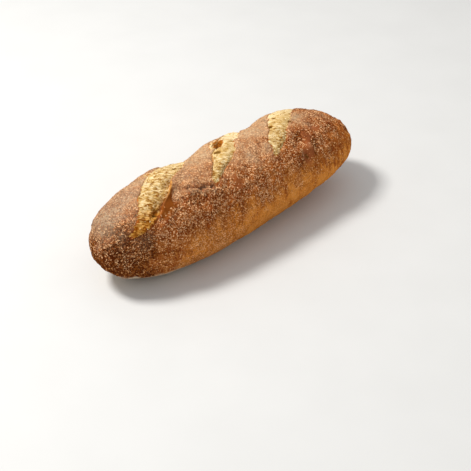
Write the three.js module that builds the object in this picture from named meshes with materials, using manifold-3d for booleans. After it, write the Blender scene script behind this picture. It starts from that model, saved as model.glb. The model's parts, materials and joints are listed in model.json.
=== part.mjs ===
// A vienna loaf: one baked piece, long and round-ended, with a flat sole, a browned crust that
// carries a coat of coarse bran, and slanting slashes across the crown that tore open in the oven.
// Millimetres, +Z up, +X along the loaf. The origin is under its middle, on the face it rests on.

import * as THREE from "three";
import { mergeVertices } from "three/addons/utils/BufferGeometryUtils.js";
import Module from "manifold-3d";

const wasm = await Module();
wasm.setup();

// Driving sizes of the whole loaf
const LENGTH = 300;
const WIDTH = 96;
const HEIGHT = 78.6;
const BELLY_HEIGHT = 35.6; // where the loaf is widest
const SOLE_SINK = 5; // how far the rounded underside would reach below the flat sole
const TAPER = 0.01; // share by which the +X end is wider than the middle
const HUMP = 0.01; // share by which its crown is higher

// Bluntness of the outlines towards the -X and the +X end: 2 is an ellipse, and more is squarer
const FRONT_EDGE = { near: 2.6, far: 5.2 }; // the plan's -Y edge
const BACK_EDGE = { near: 4.2, far: 3.6 };
const CROWN_LINE = { near: 3.5, far: 3.6 };
const KEEL_LINE = { near: 4.4, far: 1.8 }; // the +X end lifts off the table sooner
const CROWN_ROUNDNESS = 2.1;
const KEEL_ROUNDNESS = { near: 2.35, far: 1.5 }; // the underside draws in towards the +X end

// Slashes: the cuts lean across the crown at one angle and open like lenses
const SLASH_SLANT = 1.27; // mm along the loaf for each mm across it
const SLASH_BACK = 44; // where a cut ends on the +Y side of the crown
const DEPTH_FULLNESS = 0.6; // less than 1 keeps a cut deep towards its two ends
const NARROWEST = 0.35; // share of a cut's width that its lines of vertices keep past its ends
const STRAY = 1.3; // how far a torn edge strays from its plain curve
const STRAY_GRAIN = 19; // distance between those strays
const FINE_STRAY = { share: 0.4, rate: 2.2 }; // a finer wave on top: its height and its pace

// One row for each cut. at: where its middle crosses the crown. half: half its width along the loaf.
// front: where it ends on the -Y side. full: how its lens closes, where less than 1 is blunter.
// The torn strip lies deep below the crust at its two sides, with a swell between them, and a lip
// of crust stands over each side, past a flank. Bows push an edge out of the plain lens, or into it:
// how far, at which place across the crown, and how far along.
const SLASHES = [
  {
    at: -79.5, half: 23.5, front: -38, full: 0.75, swell: 1.6,
    left: {
      deep: 0.5, flank: 3.5, lip: 0.3,
      bows: [{ by: 4, at: 10, reach: 11 }, { by: -4, at: -20, reach: 8 }, { by: 3, at: -35, reach: 5 }],
    },
    right: {
      deep: 3.4, flank: 1.8, lip: 3.2,
      bows: [{ by: -8.5, at: -7, reach: 7.5 }, { by: -3, at: -17.5, reach: 6 }, { by: 6, at: -33, reach: 6 }],
    },
  },
  {
    at: -5, half: 14.5, front: -29, full: 0.75, swell: 1.8,
    left: {
      deep: 0.4, flank: 1.4, lip: 0.5,
      bows: [{ by: 6, at: 18, reach: 7 }, { by: 3.5, at: -25, reach: 5 }],
    },
    right: {
      deep: 0.7, flank: 2.5, lip: 0.6,
      bows: [{ by: 5, at: -13, reach: 6 }, { by: -3, at: 8, reach: 7 }],
    },
  },
  {
    at: 67, half: 15, front: -32, full: 0.55, swell: 1.2,
    left: {
      deep: 0.3, flank: 1.4, lip: 0.3,
      bows: [{ by: 7.5, at: 24, reach: 14 }, { by: -2, at: -26, reach: 5 }],
    },
    right: {
      deep: 0.4, flank: 2.5, lip: 0.3,
      bows: [{ by: 2.5, at: -24, reach: 8 }],
    },
  },
];

// The ear: the first cut's right lip, which stands tall over the strip with a bare face behind it
const EARED = SLASHES[0];
const EAR_FACE = { apex: -8, base: -31, width: 16 }; // the face starts as a point and grows to this width
const EAR_FLARE = 1.6; // more than 1 keeps the face narrow for longer
const EAR_BEHIND = { tall: -11, low: 2 }; // behind the ear the lip sinks
const EAR_BEFORE = { tall: -29, low: -35 }; // and in front of it
const EAR_KEPT = 0.2; // to this share of its height
const EAR_BARE = { from: 1, to: 5 }; // width at which the face takes over from a plain lip
const LIP_FADE = 14; // how far behind its edge a lip sinks back into the crust
const STRIP_LEAN = 1.5; // more than 1 keeps the strip's fall for its right-hand side
const CRUMB_RELIEF = 0.6; // height of the torn crumb's crags
const CRUMB_GRAIN = 11; // distance between them

// Broad swellings and hollows, and small marks: middle, radius and height
const SWELLINGS = [
  { x: -24, y: 29, radius: 24, height: -8 }, // hollow behind the first cut
  { x: 47, y: 31, radius: 21, height: -6 }, // hollow behind the second cut
  { x: 19, y: 14, radius: 10, height: -4.5 }, // hollow at the back of the second strip
  { x: -50, y: 18, radius: 12, height: -2.5 }, // hollow at the back of the first strip
  { x: -60, y: -24, radius: 15, height: 1.4 }, // fold of crust beside the first cut
  { x: -23, y: -34, radius: 6.5, height: 1.8 }, // blister
  { x: 66, y: -36.5, radius: 4.6, height: 4.2 }, // knob of the burst bubble
  { x: 60, y: -40.5, radius: 3.4, height: -3.6 }, // its pit
  { x: -128, y: -20, radius: 9, height: 1.6 }, // lump at the -X end
  { x: -116, y: -44, radius: 8, height: -1.4 }, // fold below the tip of the first cut
  { x: 6, y: 20, radius: 4.2, height: -4 }, // cavity along the second cut, from its back
  { x: 0, y: 13.5, radius: 4.2, height: -4.4 }, // through its middle
  { x: -5, y: 8, radius: 3.2, height: -3 }, // to its front
];
const CRUST_RELIEF = 0.55; // unevenness of the crust
const CRUST_GRAIN = 24; // distance between its rises
// The waves that make a surface uneven: which way each one runs, and which way it is bent
const WAVES = [
  { along: new THREE.Vector3(1, 0.4, 0), bend: new THREE.Vector3(0, 0, 0.6) },
  { along: new THREE.Vector3(-0.5, 0.9, 0.7), bend: new THREE.Vector3(0, 0, 0) },
  { along: new THREE.Vector3(0.7, 0, 0.8), bend: new THREE.Vector3(0, 0.7, 0) },
];
const SMOOTH_TIP = 0.4; // share of the full width at which the relief is whole
const RELIEF_FROM = 1; // height at which the sole's smoothness begins to end
const RELIEF_FULL = 9; // and where it has ended

// Bran flakes that stand proud of the crust
const FLAKE_COUNT = 150;
const FLAKE = { length: 2.4, width: 1.6, thick: 1.1 };
const FLAKE_SPREAD = 0.35; // how far a flake's size varies
const FLAKE_SUNK = 0.25; // share of its half thickness below the crust
const FLAKE_LOWEST = 9; // none lie lower than this
const FLAKE_REACH = 0.97; // share of the length that carries them
const FLAKE_CLEAR = { radius: 7, reach: 3 }; // marks smaller than this keep them off, so many radii around
const FLAKE_ARC = { from: -0.1, to: 1.1 }; // half turns round the section, from the back to the front
const SEED = 7;

// Lines of vertices: round the loaf, and along it in each stretch
const AROUND = 44;
const CROWDING = 0.35; // how much closer they lie on the crown than on the sole
const END_RINGS = 15;
const BETWEEN_RINGS = 10;
const STRIP_RINGS = 7;
const FLANK_RINGS = 2;
const MERGE_WITHIN = 1e-3; // vertices closer than this are one
const SLOPE_STEP = 0.01; // step, along and round, that a slope is measured over

const CRUST_COLOUR = "#9a6436";
const CRUST_ROUGHNESS = 0.85;

const signedPower = (value, power) => Math.sign(value) * Math.abs(value) ** power;
const between = (a, b, share) => a + (b - a) * share;
const clamp = (value, low, high) => Math.min(high, Math.max(low, value));
const clamp01 = (value) => clamp(value, 0, 1);
const bell = (value, middle, reach) => Math.exp(-(((value - middle) / reach) ** 2));

function smoothStep(from, to, value) {
  const share = clamp01((value - from) / (to - from));
  return share * share * (3 - 2 * share);
}

// Repeatable random numbers from 0 to 1
function randomSource(seed) {
  let state = seed;
  return () => {
    state = (state + 0x6d2b79f5) | 0;
    let mixed = Math.imul(state ^ (state >>> 15), 1 | state);
    mixed = (mixed + Math.imul(mixed ^ (mixed >>> 7), 61 | mixed)) ^ mixed;
    return ((mixed ^ (mixed >>> 14)) >>> 0) / 2 ** 32;
  };
}

// Uneven rises and falls from -1 to 1, about one grain apart: slanting waves, added up
function unevenness(x, y, z, grain) {
  const turn = (2 * Math.PI) / grain;
  const place = new THREE.Vector3(x, y, z).multiplyScalar(turn);
  const sum = WAVES.reduce(
    (total, { along, bend }) => total + Math.sin(place.dot(along) + Math.sin(place.dot(bend))),
    0,
  );
  return sum / WAVES.length;
}

// Share of the full section that is left at a place along the loaf
function outline(x, bluntness) {
  const power = x < 0 ? bluntness.near : bluntness.far;
  return Math.sqrt(Math.max(0, 1 - Math.abs((2 * x) / LENGTH) ** power));
}

// A point of the smooth loaf, at x along it and an angle round its section
function smoothPoint(x, angle) {
  const [c, s] = [Math.cos(angle), Math.sin(angle)];
  const towardsFar = (2 * x) / LENGTH;
  const keelRoundness = between(KEEL_ROUNDNESS.near, KEEL_ROUNDNESS.far, (1 + towardsFar) / 2);
  const roundness = s >= 0 ? CROWN_ROUNDNESS : keelRoundness;
  const halfWidth = (WIDTH / 2) * outline(x, c < 0 ? FRONT_EDGE : BACK_EDGE) * (1 + TAPER * towardsFar);
  const rise = s >= 0
    ? (HEIGHT - BELLY_HEIGHT) * outline(x, CROWN_LINE) * (1 + HUMP * towardsFar)
    : (BELLY_HEIGHT + SOLE_SINK) * outline(x, KEEL_LINE);
  const y = halfWidth * signedPower(c, 2 / roundness);
  const z = Math.max(0, BELLY_HEIGHT + rise * signedPower(s, 2 / roundness));
  return new THREE.Vector3(x, y, z);
}

// The way out of the smooth loaf at that point
function outward(x, angle) {
  const step = SLOPE_STEP;
  const limit = LENGTH / 2 - step;
  const middle = clamp(x, -limit, limit);
  const along = smoothPoint(middle + step, angle).sub(smoothPoint(middle - step, angle));
  const round = smoothPoint(middle, angle + step).sub(smoothPoint(middle, angle - step));
  return round.cross(along).normalize();
}

// How far across the crown an angle lies, measured as if the loaf were full width there
function across(angle) {
  return (WIDTH / 2) * signedPower(Math.cos(angle), 2 / CROWN_ROUNDNESS);
}

// A cut's opening at a place across the crown: 0 at its two ends, 1 at its widest
function opening(slash, y) {
  const share = clamp01((y - slash.front) / (SLASH_BACK - slash.front));
  return Math.sin(Math.PI * share) ** slash.full;
}

// How far a torn edge strays along the loaf; each cut and each side starts its waves elsewhere
function straying(y, start) {
  const turn = (2 * Math.PI * (y + start)) / STRAY_GRAIN;
  return STRAY * (Math.sin(turn) + FINE_STRAY.share * Math.sin(FINE_STRAY.rate * turn));
}

// How far the bows push an edge out there
function bowed(bows, y) {
  return bows.reduce((sum, { by, at, reach }) => sum + by * bell(y, at, reach), 0);
}

// The lines along a cut at a place across the crown: outer foot and edge on both sides
function slashLines(slash, y, narrowest) {
  const middle = slash.at + SLASH_SLANT * clamp(y, slash.front, SLASH_BACK);
  const open = opening(slash, y);
  const half = slash.half * Math.max(open, narrowest);
  const leftEdge = middle - half + open * straying(y, slash.at) - bowed(slash.left.bows, y);
  const stray = straying(y, slash.at + slash.half);
  const rightEdge = middle + half + open * stray + bowed(slash.right.bows, y);
  return {
    leftLip: leftEdge - slash.left.flank,
    leftEdge,
    rightEdge,
    rightLip: rightEdge + slash.right.flank,
  };
}

// Share of its full height and depth that a cut's right side has there
function rightShare(slash, y) {
  if (slash !== EARED) return 1;
  const behind = smoothStep(EAR_BEHIND.tall, EAR_BEHIND.low, y);
  const before = smoothStep(EAR_BEFORE.tall, EAR_BEFORE.low, y);
  return between(1, EAR_KEPT, Math.max(behind, before));
}

// How high the crust stands past a right lip: it fades away, or falls as the ear's bare face
function pastLip(slash, lip, distance, y) {
  const faded = lip * (1 - smoothStep(0, LIP_FADE, distance));
  if (slash !== EARED) return faded;
  const grown = clamp01((y - EAR_FACE.apex) / (EAR_FACE.base - EAR_FACE.apex)) ** EAR_FLARE;
  const width = EAR_FACE.width * grown;
  const face = lip * clamp01(1 - distance / Math.max(width, EAR_BARE.from));
  return between(faded, face, smoothStep(EAR_BARE.from, EAR_BARE.to, width));
}

// How far a cut lifts or sinks the surface
function slashRelief(slash, x, y) {
  const open = opening(slash, y) ** DEPTH_FULLNESS;
  if (open <= 0) return 0;
  const line = slashLines(slash, y, NARROWEST);
  const { left, swell } = slash;
  const deepRight = slash.right.deep * rightShare(slash, y);
  const lipRight = slash.right.lip * rightShare(slash, y);
  let height;
  if (x < line.leftLip) {
    height = left.lip * smoothStep(line.leftLip - LIP_FADE, line.leftLip, x);
  } else if (x < line.leftEdge) {
    height = between(left.lip, -left.deep, (x - line.leftLip) / left.flank);
  } else if (x < line.rightEdge) {
    const share = (x - line.leftEdge) / (line.rightEdge - line.leftEdge);
    const crags = CRUMB_RELIEF * unevenness(x, y, 0, CRUMB_GRAIN);
    const bed = between(-left.deep, -deepRight, share ** STRIP_LEAN);
    height = bed + swell * Math.sin(Math.PI * share) + crags;
  } else if (x < line.rightLip) {
    height = between(-deepRight, lipRight, (x - line.rightEdge) / slash.right.flank);
  } else {
    height = pastLip(slash, lipRight, x - line.rightLip, y);
  }
  return open * height;
}

// How far the baked surface stands out from the smooth loaf
function relief(x, angle, point) {
  const awayFromTips = smoothStep(0, SMOOTH_TIP, outline(x, BACK_EDGE));
  const aboveSole = smoothStep(RELIEF_FROM, RELIEF_FULL, point.z) * awayFromTips;
  const uneven = CRUST_RELIEF * aboveSole * unevenness(point.x, point.y, point.z, CRUST_GRAIN);
  if (Math.sin(angle) <= 0) return uneven;
  const y = across(angle);
  const cuts = SLASHES.reduce((sum, slash) => sum + slashRelief(slash, x, y), 0);
  const swellings = SWELLINGS.reduce((sum, { x: cx, y: cy, radius, height }) => {
    return sum + height * bell(Math.hypot(x - cx, y - cy), 0, radius);
  }, 0);
  return uneven + awayFromTips * (cuts + swellings);
}

function bakedPoint(x, angle) {
  const point = smoothPoint(x, angle);
  return point.addScaledVector(outward(x, angle), relief(x, angle, point));
}

// The stretches along the loaf, from end to end: where each one stops, and its rings
function stretches(y) {
  const stops = [{ x: -LENGTH / 2, rings: 0 }];
  SLASHES.forEach((slash, index) => {
    const line = slashLines(slash, y, NARROWEST);
    stops.push({ x: line.leftLip, rings: index === 0 ? END_RINGS : BETWEEN_RINGS });
    stops.push({ x: line.leftEdge, rings: FLANK_RINGS });
    stops.push({ x: line.rightEdge, rings: STRIP_RINGS });
    stops.push({ x: line.rightLip, rings: FLANK_RINGS });
  });
  stops.push({ x: LENGTH / 2, rings: END_RINGS });
  return stops;
}

const RINGS = stretches(0).reduce((sum, stop) => sum + stop.rings, 0);

// Where a ring of vertices crosses that place across the crown: the rings follow the cuts,
// and crowd together towards the loaf's round ends
function ringPlace(ring, y) {
  const stops = stretches(y);
  let first = 0;
  for (let k = 1; k < stops.length; k++) {
    const { x, rings } = stops[k];
    if (ring <= first + rings) {
      const share = (ring - first) / rings;
      const eased = k === 1
        ? 1 - Math.cos((share * Math.PI) / 2)
        : k === stops.length - 1
          ? Math.sin((share * Math.PI) / 2)
          : share;
      return between(stops[k - 1].x, x, eased);
    }
    first += rings;
  }
  return LENGTH / 2;
}

// A sphere's mesh, with its poles at the loaf's ends, drawn out over the baked surface
function loafSkin() {
  const skin = new THREE.SphereGeometry(1, AROUND, RINGS);
  const position = skin.getAttribute("position");
  for (let ring = 0; ring <= RINGS; ring++) {
    for (let column = 0; column <= AROUND; column++) {
      const turn = -2 * Math.PI * ((column % AROUND) / AROUND);
      const angle = turn + CROWDING * Math.cos(turn);
      const point = bakedPoint(ringPlace(ring, across(angle)), angle);
      position.setXYZ(ring * (AROUND + 1) + column, point.x, point.y, point.z);
    }
  }
  return skin;
}

function toSolid(geometry) {
  const bare = geometry.clone();
  bare.deleteAttribute("normal");
  bare.deleteAttribute("uv");
  const merged = mergeVertices(bare, MERGE_WITHIN);
  return new wasm.Manifold(new wasm.Mesh({
    numProp: 3,
    vertProperties: new Float32Array(merged.getAttribute("position").array),
    triVerts: new Uint32Array(merged.index.array),
  }));
}

function toGeometry(solid) {
  const mesh = solid.getMesh();
  const geometry = new THREE.BufferGeometry();
  geometry.setAttribute("position", new THREE.BufferAttribute(mesh.vertProperties, mesh.numProp));
  geometry.setIndex(new THREE.BufferAttribute(mesh.triVerts, 1));
  geometry.computeVertexNormals();
  return geometry;
}

const inACut = (x, y) => SLASHES.some((slash) => {
  const line = slashLines(slash, y, 0);
  return opening(slash, y) > 0 && x > line.leftLip && x < line.rightLip;
});

const onAMark = (x, y) => SWELLINGS.some((mark) => {
  const near = Math.hypot(x - mark.x, y - mark.y) < FLAKE_CLEAR.reach * mark.radius;
  return mark.radius < FLAKE_CLEAR.radius && near;
});

// One bran flake, lying on the crust at that point
function flake(x, angle, random) {
  const size = () => 1 + FLAKE_SPREAD * (2 * random() - 1);
  const geometry = new THREE.OctahedronGeometry(0.5);
  geometry.scale(FLAKE.length * size(), FLAKE.width * size(), FLAKE.thick * size());
  geometry.rotateZ(2 * Math.PI * random());
  const normal = outward(x, angle);
  const lie = new THREE.Quaternion().setFromUnitVectors(new THREE.Vector3(0, 0, 1), normal);
  const centre = bakedPoint(x, angle).addScaledVector(normal, -FLAKE_SUNK * FLAKE.thick / 2);
  geometry.applyQuaternion(lie);
  geometry.translate(centre.x, centre.y, centre.z);
  return geometry;
}

// The flakes lie evenly over the crust: two steps that never fall into a row give each next place
function flakePlaces() {
  const [stepAlong, stepRound] = [0.7548776662, 0.5698402910];
  const places = [];
  for (let k = 1; places.length < FLAKE_COUNT; k++) {
    const x = FLAKE_REACH * LENGTH * (((k * stepAlong) % 1) - 0.5);
    const angle = Math.PI * between(FLAKE_ARC.from, FLAKE_ARC.to, (k * stepRound) % 1);
    const y = across(angle);
    const clear = !inACut(x, y) && !onAMark(x, y);
    if (smoothPoint(x, angle).z > FLAKE_LOWEST && clear) places.push([x, angle]);
  }
  return places;
}

function loaf() {
  const random = randomSource(SEED);
  const solid = flakePlaces().reduce(
    (joined, [x, angle]) => joined.add(toSolid(flake(x, angle, random))),
    toSolid(loafSkin()),
  );
  const geometry = toGeometry(solid);
  geometry.computeBoundingBox();
  const middle = geometry.boundingBox.getCenter(new THREE.Vector3());
  geometry.translate(-middle.x, -middle.y, -geometry.boundingBox.min.z);
  const crust = new THREE.MeshStandardMaterial({
    color: CRUST_COLOUR,
    roughness: CRUST_ROUGHNESS,
    metalness: 0,
  });
  const mesh = new THREE.Mesh(geometry, crust);
  mesh.name = "loaf";
  return mesh;
}

const part = new THREE.Group();
part.name = "vienna_loaf";
part.add(loaf());

export default part;
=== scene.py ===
# %% [markdown]
# # A vienna loaf
# A vienna loaf is a long wheat loaf that was rolled in bran, slashed across the crown and baked on the
# floor of an oven. What makes it look real is the contrast of its surfaces: browned crust under a coat of
# pale flakes, pale torn crumb where the slashes opened, and one smooth ear of dough beside the first
# slash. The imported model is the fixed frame. It gives the size and the place, and this script gives the
# looks.

# %% Load the frame
import json
import bpy
import numpy as np
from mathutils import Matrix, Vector

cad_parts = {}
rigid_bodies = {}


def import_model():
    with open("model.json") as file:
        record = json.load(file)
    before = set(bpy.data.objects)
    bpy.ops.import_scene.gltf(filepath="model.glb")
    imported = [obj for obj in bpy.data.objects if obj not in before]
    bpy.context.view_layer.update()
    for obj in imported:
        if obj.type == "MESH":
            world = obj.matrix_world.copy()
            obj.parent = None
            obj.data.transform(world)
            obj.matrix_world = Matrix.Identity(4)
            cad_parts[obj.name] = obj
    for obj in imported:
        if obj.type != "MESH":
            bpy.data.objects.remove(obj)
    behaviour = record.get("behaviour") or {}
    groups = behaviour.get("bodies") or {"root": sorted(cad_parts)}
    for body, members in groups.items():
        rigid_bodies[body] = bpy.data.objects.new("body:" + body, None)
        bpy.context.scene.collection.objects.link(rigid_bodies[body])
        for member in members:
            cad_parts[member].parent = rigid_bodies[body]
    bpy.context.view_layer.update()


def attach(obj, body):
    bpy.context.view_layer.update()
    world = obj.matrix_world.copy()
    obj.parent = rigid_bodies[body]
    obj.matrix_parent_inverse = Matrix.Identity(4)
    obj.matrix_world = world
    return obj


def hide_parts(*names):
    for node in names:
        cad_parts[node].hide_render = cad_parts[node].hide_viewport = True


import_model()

MM = 0.001

# %% [markdown]
# ## The shape of the dough
# Dough has no straight lines, but it does follow a rule. Seen from above, from the side and end on, a loaf
# is a blunt ellipse, so one formula with a bluntness for each outline gives every point of the skin. A
# sculpted mesh could look as good, yet the formula stays exact in the frame and can be sampled as finely
# as wanted. All lengths here are millimetres. The loaf lies along X, and -Y is the side that faces the
# viewer.

# %% Sizes of the loaf
LENGTH, WIDTH, HEIGHT = 300.0, 96.0, 78.6
BELLY_HEIGHT = 35.6  # where the loaf is widest
SOLE_SINK = 5.0  # how far the rounded underside would reach below the flat sole
TAPER = 0.01  # share by which the +X end is wider
HUMP = 0.01  # share by which its crown is higher

# Bluntness towards the -X and the +X end: 2 is an ellipse, and more is squarer
FRONT_EDGE, BACK_EDGE = (2.6, 5.2), (4.2, 3.6)
CROWN_LINE, KEEL_LINE = (3.5, 3.6), (4.4, 1.8)
CROWN_ROUNDNESS = 2.1
KEEL_ROUNDNESS = (2.35, 1.5)
print("smooth loaf in mm:", LENGTH, "by", WIDTH, "by", HEIGHT)

# %% Points of the smooth loaf
SLOPE_STEP = 0.01  # mm along the loaf and radians round it, to measure a slope


def ease(low, high, value):
    """0 at low, 1 at high, and a smooth change between them."""
    share = np.clip((value - low) / (high - low), 0, 1)
    return share * share * (3 - 2 * share)


def signed_power(value, power):
    return np.sign(value) * np.abs(value) ** power


def outline(x, bluntness):
    """Share of the full section that is left at x."""
    power = np.where(x < 0, bluntness[0], bluntness[1])
    return np.sqrt(np.clip(1 - np.abs(2 * x / LENGTH) ** power, 0, None))


def smooth_point(x, angle):
    """A point of the smooth loaf, at x along it and an angle round its section."""
    c, s = np.cos(angle), np.sin(angle)
    far = 2 * x / LENGTH
    keel = KEEL_ROUNDNESS[0] + (KEEL_ROUNDNESS[1] - KEEL_ROUNDNESS[0]) * (1 + far) / 2
    roundness = np.where(s >= 0, CROWN_ROUNDNESS, keel)
    edge = np.where(c < 0, outline(x, FRONT_EDGE), outline(x, BACK_EDGE))
    crown = (HEIGHT - BELLY_HEIGHT) * outline(x, CROWN_LINE) * (1 + HUMP * far)
    rise = np.where(s >= 0, crown, (BELLY_HEIGHT + SOLE_SINK) * outline(x, KEEL_LINE))
    y = WIDTH / 2 * edge * (1 + TAPER * far) * signed_power(c, 2 / roundness)
    z = np.maximum(0, BELLY_HEIGHT + rise * signed_power(s, 2 / roundness))
    return np.stack([x, y, z], axis=-1)


def outward(x, angle):
    """The way out of the smooth loaf at that point."""
    limit = LENGTH / 2 - SLOPE_STEP
    middle = np.clip(x, -limit, limit)
    along = smooth_point(middle + SLOPE_STEP, angle) - smooth_point(middle - SLOPE_STEP, angle)
    around = smooth_point(middle, angle + SLOPE_STEP) - smooth_point(middle, angle - SLOPE_STEP)
    normal = np.cross(around, along)
    return normal / np.linalg.norm(normal, axis=-1, keepdims=True)


print("top of the crown:", smooth_point(np.zeros(1), np.full(1, np.pi / 2)).round(1))

# %% [markdown]
# ## The slashes
# A baker cuts slanting lines into the dough. In the oven the cuts tear open like lenses: the crumb swells
# up in a pale strip, and the crust at the sides lifts into lips. On the first slash the right lip is tall,
# and bakers call it the ear. Boolean cuts would leave hard edges, so each slash is a row of sizes instead,
# and the relief is worked out from where a point lies between its edges.

# %% Sizes of the slashes
SLASH_SLANT = 1.27  # mm along the loaf for each mm across it
SLASH_BACK = 44.0  # where a cut ends on the +Y side of the crown

# at: where the middle crosses the crown, half: half its width, front: where it ends on the -Y side,
# full: how blunt its ends are (less is blunter), swell: how high the crumb rises in the middle,
# then for the left and the right side how deep the strip lies, how wide the flank is and how high the lip
# stands, and where its edges bow out of the lens: how far, where across the crown, and how far along
SLASHES = [
    dict(at=-79.5, half=23.5, front=-38.0, full=0.75, swell=1.6,
         deep=(0.5, 3.4), flank=(3.5, 1.8), lip=(0.3, 3.2),
         left_bows=[(4.0, 10.0, 11.0), (-4.0, -20.0, 8.0), (3.0, -35.0, 5.0)],
         right_bows=[(-8.5, -7.0, 7.5), (-3.0, -17.5, 6.0), (6.0, -33.0, 6.0)]),
    dict(at=-5.0, half=14.5, front=-29.0, full=0.75, swell=1.8,
         deep=(0.4, 0.7), flank=(1.4, 2.5), lip=(0.5, 0.6),
         left_bows=[(6.0, 18.0, 7.0), (3.5, -25.0, 5.0)],
         right_bows=[(5.0, -13.0, 6.0), (-3.0, 8.0, 7.0)]),
    dict(at=67.0, half=15.0, front=-32.0, full=0.55, swell=1.2,
         deep=(0.3, 0.4), flank=(1.4, 2.5), lip=(0.3, 0.3),
         left_bows=[(7.5, 24.0, 14.0), (-2.0, -26.0, 5.0)],
         right_bows=[(2.5, -24.0, 8.0)]),
]
EARED = SLASHES[0]
print("slashes cross the crown at:", [slash["at"] for slash in SLASHES])

# %% Lines along a slash
NARROWEST = 0.35  # share of a cut's width that its lines of vertices keep past its ends
STRAY, STRAY_GRAIN = 1.3, 19.0  # how far a torn edge strays, and how often
FINE_STRAY_SHARE, FINE_STRAY_RATE = 0.4, 2.2


def across(angle):
    """How far across the crown an angle lies, as if the loaf were full width there."""
    return WIDTH / 2 * signed_power(np.cos(angle), 2 / CROWN_ROUNDNESS)


def opening(slash, y):
    """0 at a cut's two ends and 1 at its widest."""
    share = np.clip((y - slash["front"]) / (SLASH_BACK - slash["front"]), 0, 1)
    return np.sin(np.pi * share) ** slash["full"]


def straying(y, start):
    turn = 2 * np.pi * (y + start) / STRAY_GRAIN
    return STRAY * (np.sin(turn) + FINE_STRAY_SHARE * np.sin(FINE_STRAY_RATE * turn))


def bell(value, middle, reach):
    """1 in the middle, and fading to both sides."""
    return np.exp(-(((value - middle) / reach) ** 2))


def bowed(bows, y):
    return sum(bow * bell(y, at, reach) for bow, at, reach in bows)


def slash_lines(slash, y, narrowest):
    """The lines along a cut: left lip, left edge, right edge and right lip."""
    middle = slash["at"] + SLASH_SLANT * np.clip(y, slash["front"], SLASH_BACK)
    opened = opening(slash, y)
    half = slash["half"] * np.maximum(opened, narrowest)
    left = middle - half + opened * straying(y, slash["at"])
    right = middle + half + opened * straying(y, slash["at"] + slash["half"])
    left = left - bowed(slash["left_bows"], y)
    right = right + bowed(slash["right_bows"], y)
    return left - slash["flank"][0], left, right, right + slash["flank"][1]


print("lines of the first slash on the crown:", np.round(slash_lines(EARED, 0.0, NARROWEST), 1))

# %% The ear
EAR_APEX, EAR_BASE, EAR_FACE = -8.0, -31.0, 16.0  # its bare face starts as a point and grows to this width
EAR_FLARE = 1.6  # more than 1 keeps the face narrow for longer
EAR_TALL, EAR_LOW, EAR_KEPT = -11.0, 2.0, 0.2  # behind the ear the right lip sinks to a share of its height
EAR_FOOT, EAR_END = -29.0, -35.0  # in front it sinks the same way


def ear_width(slash, y):
    """Width of the bare face behind the right lip."""
    share = np.clip((y - EAR_APEX) / (EAR_BASE - EAR_APEX), 0, 1)
    return EAR_FACE * share**EAR_FLARE * (slash is EARED)


def ear_height(y):
    """Share of the ear's height that the right lip has there."""
    return 1 - (1 - EAR_KEPT) * np.maximum(ease(EAR_TALL, EAR_LOW, y), ease(EAR_FOOT, EAR_END, y))


ear_places = np.array([EAR_END, EAR_TALL, EAR_LOW])
print("share of the ear's height in front, at its tallest and behind:", ear_height(ear_places).round(2))

# %% Height across a slash
DEPTH_FULLNESS = 0.6  # less than 1 keeps a cut deep almost to its ends
LIP_FADE = 14.0  # how far behind its edge a lip sinks back into the crust
STRIP_LEAN = 1.5  # more than 1 keeps the strip's fall for its right-hand side
EAR_GROOVE, EAR_GROOVE_WIDE = 1.0, 1.6  # the fold at the foot of the bare face
NARROW_FACE, WIDE_FACE = 1.0, 5.0  # a lip slopes gently up to the first width and steeply from the second


def slash_relief(slash, x, y):
    """How far a cut lifts or sinks the surface."""
    left_lip, left, right, right_lip = slash_lines(slash, y, NARROWEST)
    (deep_l, deep_r), (flank_l, flank_r), (lip_l, lip_r) = slash["deep"], slash["flank"], slash["lip"]
    if slash is EARED:
        tall = ear_height(y)
        deep_r, lip_r = deep_r * tall, lip_r * tall
    share = np.clip((x - left) / (right - left), 0, 1)
    bed = -deep_l + (deep_l - deep_r) * share**STRIP_LEAN + slash["swell"] * np.sin(np.pi * share)
    face = ear_width(slash, y)
    slope = lip_r * np.clip(1 - (x - right_lip) / np.maximum(face, NARROW_FACE), 0, 1)
    slope -= EAR_GROOVE * bell(x, right_lip + face, EAR_GROOVE_WIDE)
    gentle = lip_r * (1 - ease(right_lip, right_lip + LIP_FADE, x))
    bare = ease(NARROW_FACE, WIDE_FACE, face)
    height = np.select(
        [x < left_lip, x < left, x < right, x < right_lip],
        [
            lip_l * ease(left_lip - LIP_FADE, left_lip, x),
            lip_l - (lip_l + deep_l) * (x - left_lip) / flank_l,
            bed,
            -deep_r + (deep_r + lip_r) * (x - right) / flank_r,
        ],
        bare * slope + (1 - bare) * gentle,
    )
    return height * opening(slash, y) ** DEPTH_FULLNESS


on_middle = [slash_relief(slash, np.full(1, slash["at"]), np.zeros(1)) for slash in SLASHES]
print("swell of the strips on the crown in mm:", np.ravel(on_middle).round(2))

# %% [markdown]
# ## Hollows, blisters and creases
# Between the slashes the crust has sunk a little at the back, and small marks catch the eye: a smooth
# blister, a bubble that burst, gas holes in the crumb, and a crease where the skin folded beside the ear.
# Sculpting them would take a brush and a steady hand. Here round ones are soft bumps with a middle, a
# radius and a height, and the crease is a groove that follows a bent line, so each can be moved by
# changing a number.

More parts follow.
